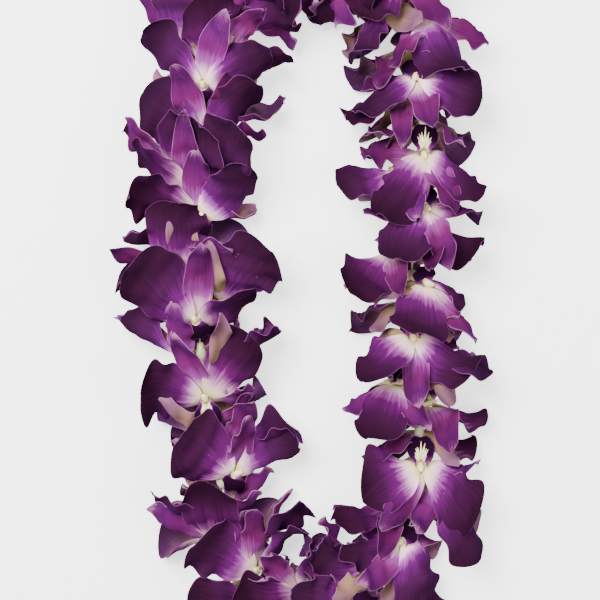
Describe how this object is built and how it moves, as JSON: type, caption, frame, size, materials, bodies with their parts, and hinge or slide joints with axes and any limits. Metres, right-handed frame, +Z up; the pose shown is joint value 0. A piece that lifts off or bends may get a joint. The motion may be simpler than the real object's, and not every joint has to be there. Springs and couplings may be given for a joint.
{
  "type": "fresh flower lei",
  "caption": "Fresh single-strand flower lei: purple orchid blossoms threaded face to stalk on a knotted cotton string, laid out as a long loop to wear round the neck.",
  "frame": {"origin": "under the middle of the lei's box, on the surface that the lei lies on", "axes": "+Z up, away from the surface; +Y along the loop's length towards the nape, where the knot is; +X to the right seen from above"},
  "size_m": [0.2498, 0.524, 0.0569],
  "materials": {
    "orchid_blossom": "satin",
    "cotton_string": "matte"
  },
  "bodies": {
    "root": {"blossom_01": "orchid_blossom", "blossom_02": "orchid_blossom", "blossom_03": "orchid_blossom", "blossom_04": "orchid_blossom", "blossom_05": "orchid_blossom", "blossom_06": "orchid_blossom", "blossom_07": "orchid_blossom", "blossom_08": "orchid_blossom", "blossom_09": "orchid_blossom", "blossom_10": "orchid_blossom", "blossom_11": "orchid_blossom", "blossom_12": "orchid_blossom", "blossom_13": "orchid_blossom", "blossom_14": "orchid_blossom", "blossom_15": "orchid_blossom", "blossom_16": "orchid_blossom", "blossom_17": "orchid_blossom", "blossom_18": "orchid_blossom", "blossom_19": "orchid_blossom", "blossom_20": "orchid_blossom", "blossom_21": "orchid_blossom", "blossom_22": "orchid_blossom", "blossom_23": "orchid_blossom", "blossom_24": "orchid_blossom", "blossom_25": "orchid_blossom", "blossom_26": "orchid_blossom", "blossom_27": "orchid_blossom", "blossom_28": "orchid_blossom", "blossom_29": "orchid_blossom", "blossom_30": "orchid_blossom", "blossom_31": "orchid_blossom", "blossom_32": "orchid_blossom", "blossom_33": "orchid_blossom", "blossom_34": "orchid_blossom", "blossom_35": "orchid_blossom", "blossom_36": "orchid_blossom", "blossom_37": "orchid_blossom", "blossom_38": "orchid_blossom", "blossom_39": "orchid_blossom", "blossom_40": "orchid_blossom", "blossom_41": "orchid_blossom", "blossom_42": "orchid_blossom", "blossom_43": "orchid_blossom", "blossom_44": "orchid_blossom", "blossom_45": "orchid_blossom", "blossom_46": "orchid_blossom", "blossom_47": "orchid_blossom", "blossom_48": "orchid_blossom", "blossom_49": "orchid_blossom", "blossom_50": "orchid_blossom", "blossom_51": "orchid_blossom", "blossom_52": "orchid_blossom", "blossom_53": "orchid_blossom", "blossom_54": "orchid_blossom", "blossom_55": "orchid_blossom", "blossom_56": "orchid_blossom", "blossom_57": "orchid_blossom", "blossom_58": "orchid_blossom", "string": "cotton_string", "knot": "cotton_string"}
  },
  "joints": []
}
